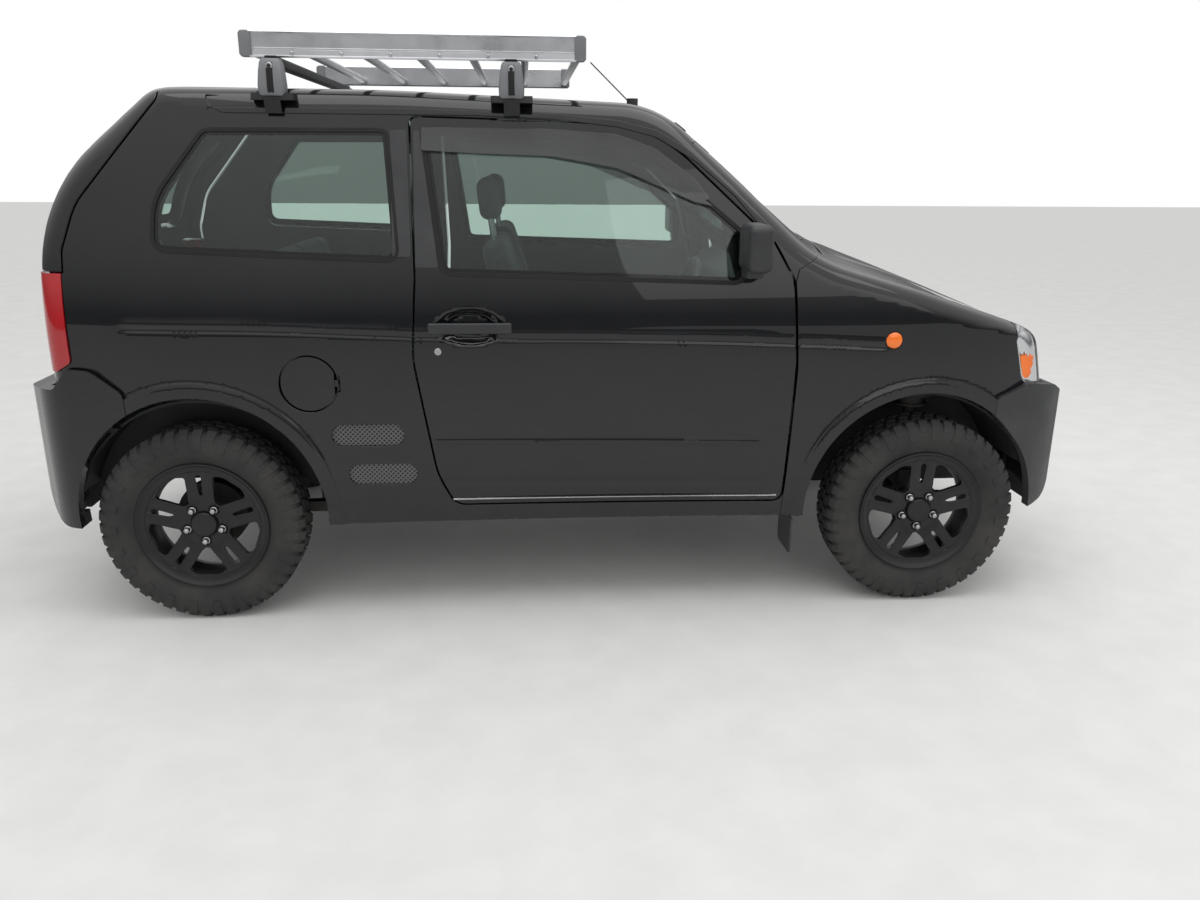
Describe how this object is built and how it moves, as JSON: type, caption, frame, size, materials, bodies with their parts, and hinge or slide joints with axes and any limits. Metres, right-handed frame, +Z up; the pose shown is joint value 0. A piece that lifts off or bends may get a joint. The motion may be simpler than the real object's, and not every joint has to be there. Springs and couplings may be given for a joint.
{
  "type": "kei car",
  "caption": "Three-door raised kei car with opening doors, tailgate and bonnet, steering front wheels, all-terrain tyres and a roof rack.",
  "frame": {"origin": "on the ground, midway between the axles and on the car's centre line, which is the middle of its overall length", "axes": "+X forward, +Y to the car's left, +Z up"},
  "size_m": [3.3926, 1.768, 1.806],
  "materials": {
    "paint": "gloss",
    "window": "gloss",
    "lamp_clear": "gloss",
    "lamp_red": "gloss",
    "dark_plastic": "satin",
    "inner_metal": "satin",
    "wheel_black": "satin",
    "tyre": "matte",
    "steel": "matte",
    "seat_cloth": "matte",
    "trim": "matte",
    "rack_alloy": "satin"
  },
  "bodies": {
    "body": {"side_panel_right": "paint", "side_panel_left": "paint", "quarter_glass": "window", "roof_panel": "paint", "windscreen": "window", "fenders": "paint", "cowl": "dark_plastic", "headlamps": "lamp_clear", "tail_lamps": "lamp_red", "front_grille": "dark_plastic", "bumper_front": "dark_plastic", "bumper_rear": "paint", "arch_lips": "paint", "floor_pan": "inner_metal", "front_frame": "inner_metal", "engine": "steel", "fuel_tank": "steel", "exhaust": "steel", "rear_axle": "steel", "front_suspension": "steel", "dashboard": "trim", "front_seats": "seat_cloth", "rear_seat": "seat_cloth", "side_vents": "dark_plastic", "mud_flaps": "dark_plastic", "rack_bars": "dark_plastic", "rack_frame": "rack_alloy", "antenna": "dark_plastic", "door_hinges": "inner_metal", "lid_hinges": "inner_metal"},
    "door_right": {"door_right": "paint", "door_glass_right": "window", "mirror_right": "dark_plastic", "door_handle_right": "dark_plastic"},
    "door_left": {"door_left": "paint", "door_glass_left": "window", "mirror_left": "dark_plastic", "door_handle_left": "dark_plastic"},
    "tailgate": {"tailgate": "paint", "tailgate_glass": "window"},
    "bonnet": {"bonnet": "paint"},
    "fuel_lid": {"fuel_lid": "paint"},
    "steering_wheel": {"steering_wheel": "trim"},
    "knuckle_right": {"knuckle_right": "steel"},
    "knuckle_left": {"knuckle_left": "steel"},
    "wheel_front_right": {"tyre_front_right": "tyre", "rim_front_right": "wheel_black"},
    "wheel_front_left": {"tyre_front_left": "tyre", "rim_front_left": "wheel_black"},
    "wheel_rear_right": {"tyre_rear_right": "tyre", "rim_rear_right": "wheel_black"},
    "wheel_rear_left": {"tyre_rear_left": "tyre", "rim_rear_left": "wheel_black"}
  },
  "joints": [
    {"name": "door_right_hinge", "type": "hinge", "parent": "body", "child": "door_right", "pos_m": [0.662, -0.723, 0.7], "axis": [0, 0, 1], "range_deg": [0, 65]},
    {"name": "steer_right", "type": "hinge", "parent": "body", "child": "knuckle_right", "pos_m": [1.18, -0.525, 0.32], "axis": [0, 0, 1], "range_deg": [-35, 35]},
    {"name": "spin_front_right", "type": "hinge", "parent": "knuckle_right", "child": "wheel_front_right", "pos_m": [1.18, -0.645, 0.32], "axis": [0, 1, 0], "continuous": true},
    {"name": "spin_rear_right", "type": "hinge", "parent": "body", "child": "wheel_rear_right", "pos_m": [-1.18, -0.645, 0.32], "axis": [0, 1, 0], "continuous": true},
    {"name": "door_left_hinge", "type": "hinge", "parent": "body", "child": "door_left", "pos_m": [0.662, 0.723, 0.7], "axis": [0, 0, -1], "range_deg": [0, 65]},
    {"name": "steer_left", "type": "hinge", "parent": "body", "child": "knuckle_left", "pos_m": [1.18, 0.525, 0.32], "axis": [0, 0, 1], "range_deg": [-35, 35]},
    {"name": "spin_front_left", "type": "hinge", "parent": "knuckle_left", "child": "wheel_front_left", "pos_m": [1.18, 0.645, 0.32], "axis": [0, 1, 0], "continuous": true},
    {"name": "spin_rear_left", "type": "hinge", "parent": "body", "child": "wheel_rear_left", "pos_m": [-1.18, 0.645, 0.32], "axis": [0, 1, 0], "continuous": true},
    {"name": "tailgate_hinge", "type": "hinge", "parent": "body", "child": "tailgate", "pos_m": [-1.231, 0, 1.653], "axis": [0, 1, 0], "range_deg": [0, 80]},
    {"name": "bonnet_hinge", "type": "hinge", "parent": "body", "child": "bonnet", "pos_m": [0.814, 0, 1.163], "axis": [0, -1, 0], "range_deg": [0, 48]},
    {"name": "fuel_lid_hinge", "type": "hinge", "parent": "body", "child": "fuel_lid", "pos_m": [-0.7175, -0.734, 0.788], "axis": [0, 0, 1], "range_deg": [0, 100]},
    {"name": "steering_column", "type": "hinge", "parent": "body", "child": "steering_wheel", "pos_m": [0.372, -0.33, 0.955], "axis": [-0.9063, 0, 0.4226], "range_deg": [-560, 560]}
  ],
  "couplings": [
    {"joint": "steer_right", "follows": "steer_left", "ratio": 1},
    {"joint": "steering_column", "follows": "steer_left", "ratio": 16}
  ]
}
